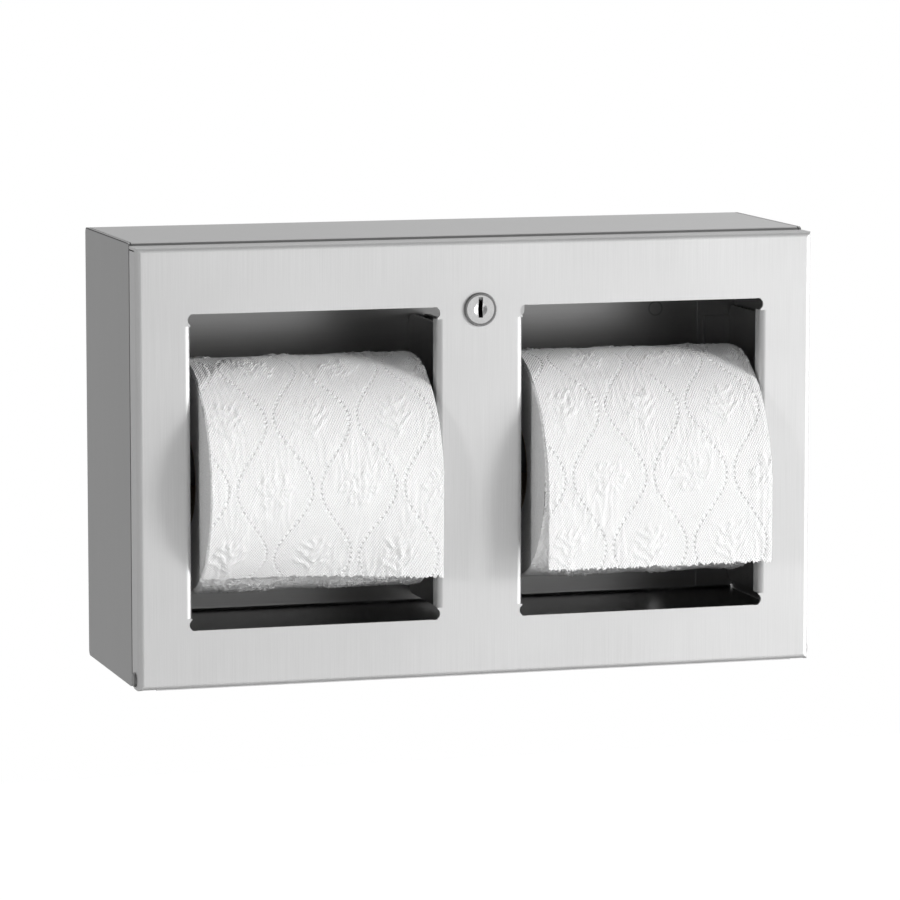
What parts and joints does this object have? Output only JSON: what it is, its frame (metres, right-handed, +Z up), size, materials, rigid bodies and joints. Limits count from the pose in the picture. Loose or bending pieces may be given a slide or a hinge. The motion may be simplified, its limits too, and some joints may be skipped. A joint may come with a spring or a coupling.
{
  "type": "toilet paper dispenser",
  "caption": "Surface-mounted stainless box for side-by-side toilet paper rolls, with a drop-down windowed door, a cam lock and lift-out roll spindles.",
  "frame": {"origin": "centre of the wall screw pattern on the back face, at the height of the roll spindles", "axes": "+X to the right seen from the front, +Y into the wall, +Z up"},
  "size_m": [0.3042, 0.1201, 0.19],
  "materials": {
    "cabinet_steel": "satin",
    "bracket_steel": "mill",
    "door_steel": "satin, upright grain",
    "rivet_steel": "plain",
    "lock_chrome": "satin nickel",
    "plated_steel": "zinc plated",
    "nylon": "plain",
    "spindle_plastic": "fine moulded texture",
    "core_board": "spiral wound",
    "tissue": "embossed tissue"
  },
  "bodies": {
    "cabinet": {"cabinet_wrap": "cabinet_steel", "left_end_panel": "cabinet_steel", "right_end_panel": "cabinet_steel", "left_roll_bracket": "bracket_steel", "centre_roll_bracket": "bracket_steel", "right_roll_bracket": "bracket_steel", "left_pivot_ear": "bracket_steel", "right_pivot_ear": "bracket_steel"},
    "door": {"door_panel": "door_steel", "left_pivot_rivet": "rivet_steel", "right_pivot_rivet": "rivet_steel", "left_pivot_washer": "nylon", "right_pivot_washer": "nylon", "lock_body": "lock_chrome", "lock_nut": "plated_steel"},
    "lock": {"lock_plug": "lock_chrome", "stop_washer": "plated_steel", "lock_cam": "plated_steel", "cam_screw": "plated_steel"},
    "left_spindle_set": {"left_spindle": "spindle_plastic", "left_paper_tail": "tissue"},
    "left_roll": {"left_roll_core": "core_board", "left_paper_roll": "tissue"},
    "right_spindle_set": {"right_spindle": "spindle_plastic", "right_paper_tail": "tissue"},
    "right_roll": {"right_roll_core": "core_board", "right_paper_roll": "tissue"}
  },
  "joints": [
    {"name": "door_swing", "type": "hinge", "parent": "cabinet", "child": "door", "pos_m": [0, -0.0933, -0.0908], "axis": [1, 0, 0], "range_deg": [0, 105]},
    {"name": "lock_turn", "type": "hinge", "parent": "door", "child": "lock", "pos_m": [0, -0.1, 0.064], "axis": [0, -1, 0], "range_deg": [0, 90]},
    {"name": "left_spindle_lift", "type": "slide", "parent": "cabinet", "child": "left_spindle_set", "axis": [0, 0, 1], "range_m": [0, 0.009]},
    {"name": "right_spindle_lift", "type": "slide", "parent": "cabinet", "child": "right_spindle_set", "axis": [0, 0, 1], "range_m": [0, 0.009]},
    {"name": "left_roll_spin", "type": "hinge", "parent": "left_spindle_set", "child": "left_roll", "pos_m": [-0.0719, -0.0653, -0.0088], "axis": [1, 0, 0], "continuous": true},
    {"name": "right_roll_spin", "type": "hinge", "parent": "right_spindle_set", "child": "right_roll", "pos_m": [0.0759, -0.0653, -0.0088], "axis": [1, 0, 0], "continuous": true}
  ]
}
